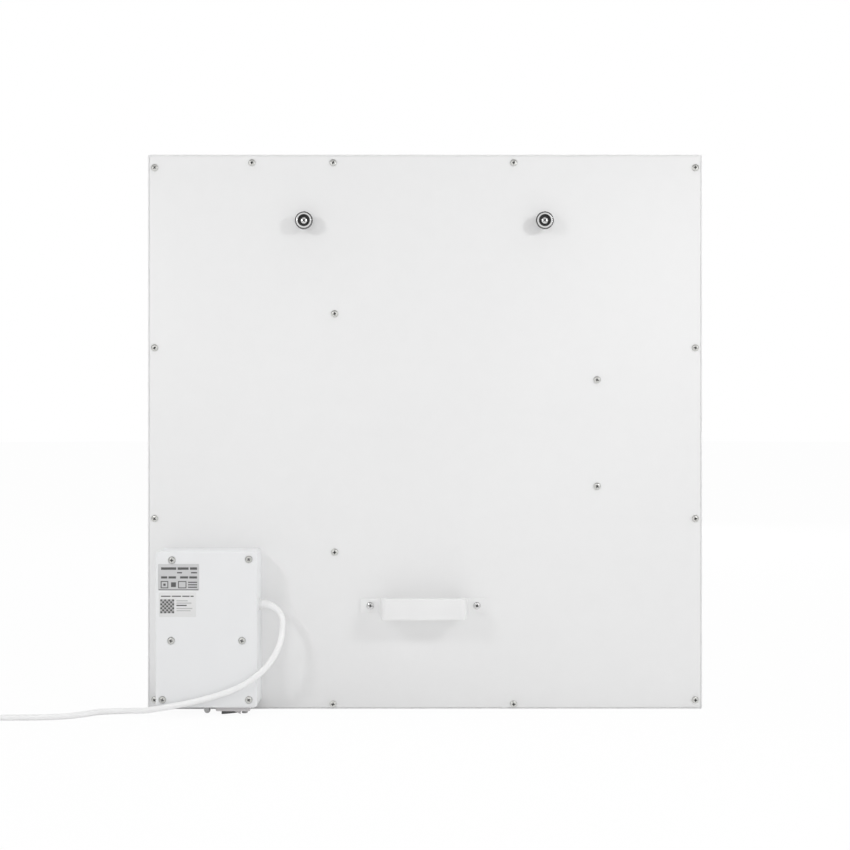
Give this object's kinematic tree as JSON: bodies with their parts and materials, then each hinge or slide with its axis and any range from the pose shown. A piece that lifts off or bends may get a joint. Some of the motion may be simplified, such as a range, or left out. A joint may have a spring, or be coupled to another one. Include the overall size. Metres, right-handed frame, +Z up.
{
  "type": "infrared panel heater",
  "caption": "Square white infrared panel heater with a controller box, hanging studs and a bow handle on its back, and a mains lead ending in a coil and a plug.",
  "frame": {"origin": "under the middle of the heater without its lead, on the surface it stands on", "axes": "+Z up, +Y out of the warm face into the room, +X to the right when the back is looked at"},
  "size_m": [0.8799, 0.1051, 0.6],
  "materials": {
    "white_steel": "white powder coat, satin, very fine texture",
    "white_plastic": "white moulded plastic, fine satin",
    "chrome": "turned and plated bright",
    "screw_steel": "bright zinc plated",
    "galvanised": "galvanised sheet, dull",
    "film": "black carbon heating film between clear sheets",
    "mat": "needled mineral wool mat",
    "foil": "bright foil",
    "bezel": "light grey moulded plastic",
    "rocker": "black gloss plastic",
    "button": "grey moulded plastic",
    "lens": "clear milky lens, polished",
    "board": "green glass fibre board",
    "relay": "blue moulded case",
    "terminal": "cream moulded plastic",
    "clamp": "grey nylon",
    "gland": "grey soft rubber",
    "wire_live": "brown insulation",
    "wire_neutral": "blue insulation",
    "wire_earth": "green and yellow insulation",
    "cord": "white flexible jacket, smooth satin",
    "plug": "white moulded plastic",
    "pins": "nickel plated"
  },
  "bodies": {
    "root": {"front_tray": "white_steel", "back_cover": "white_steel", "heating_film": "film", "insulation_mat": "mat", "reflector_foil": "foil", "hanger_rail_top": "galvanised", "hanger_rail_side": "galvanised", "handle_rail_bottom": "galvanised", "handle_rail_side": "galvanised", "rim_screw_top_1": "screw_steel", "rim_screw_top_2": "screw_steel", "rim_screw_top_extra": "screw_steel", "rim_screw_bottom_1": "screw_steel", "rim_screw_bottom_2": "screw_steel", "rim_screw_left_bottom_corner": "screw_steel", "rim_screw_left_1": "screw_steel", "rim_screw_left_2": "screw_steel", "rim_screw_left_top_corner": "screw_steel", "rim_screw_right_bottom_corner": "screw_steel", "rim_screw_right_1": "screw_steel", "rim_screw_right_2": "screw_steel", "rim_screw_right_top_corner": "screw_steel", "blanking_screw_stud_lower": "screw_steel", "blanking_screw_stud_upper": "screw_steel", "blanking_screw_handle_lower": "screw_steel", "blanking_screw_handle_upper": "screw_steel", "hanging_stud_left": "chrome", "hanging_stud_right": "chrome", "hanging_stud_screw_left": "screw_steel", "hanging_stud_screw_right": "screw_steel", "bow_handle": "white_plastic", "handle_screw_left": "screw_steel", "handle_screw_right": "screw_steel", "box_base": "white_plastic", "box_lid": "white_plastic", "lid_screw_top_left": "screw_steel", "lid_screw_top_right": "screw_steel", "lid_screw_mid_left": "screw_steel", "lid_screw_mid_right": "screw_steel", "lid_screw_bottom_left": "screw_steel", "lid_screw_bottom_right": "screw_steel", "switch_housing": "bezel", "indicator_lens": "lens", "control_board": "board", "relay": "relay", "terminal_block": "terminal", "cord_clamp": "clamp", "cord_gland": "gland", "lead_grommet": "gland", "live_lead": "wire_live", "neutral_lead": "wire_neutral", "earth_lead": "wire_earth", "thermal_cutout": "galvanised", "power_cord": "cord", "cord_coil": "cord", "plug_body": "plug", "plug_pin_near": "pins", "plug_pin_far": "pins"},
    "rocker": {"switch_rocker": "rocker"},
    "button": {"push_button": "button"}
  },
  "joints": [
    {"name": "rocker_pivot", "type": "hinge", "parent": "root", "child": "rocker", "pos_m": [-0.2063, -0.0179, 0.00876], "axis": [0, 1, 0], "range_deg": [0, 12]},
    {"name": "button_push", "type": "slide", "parent": "root", "child": "button", "axis": [0, 0, 1], "range_m": [0, 0.0015], "stiffness_N_per_m": 400, "springref_m": -0.001}
  ]
}
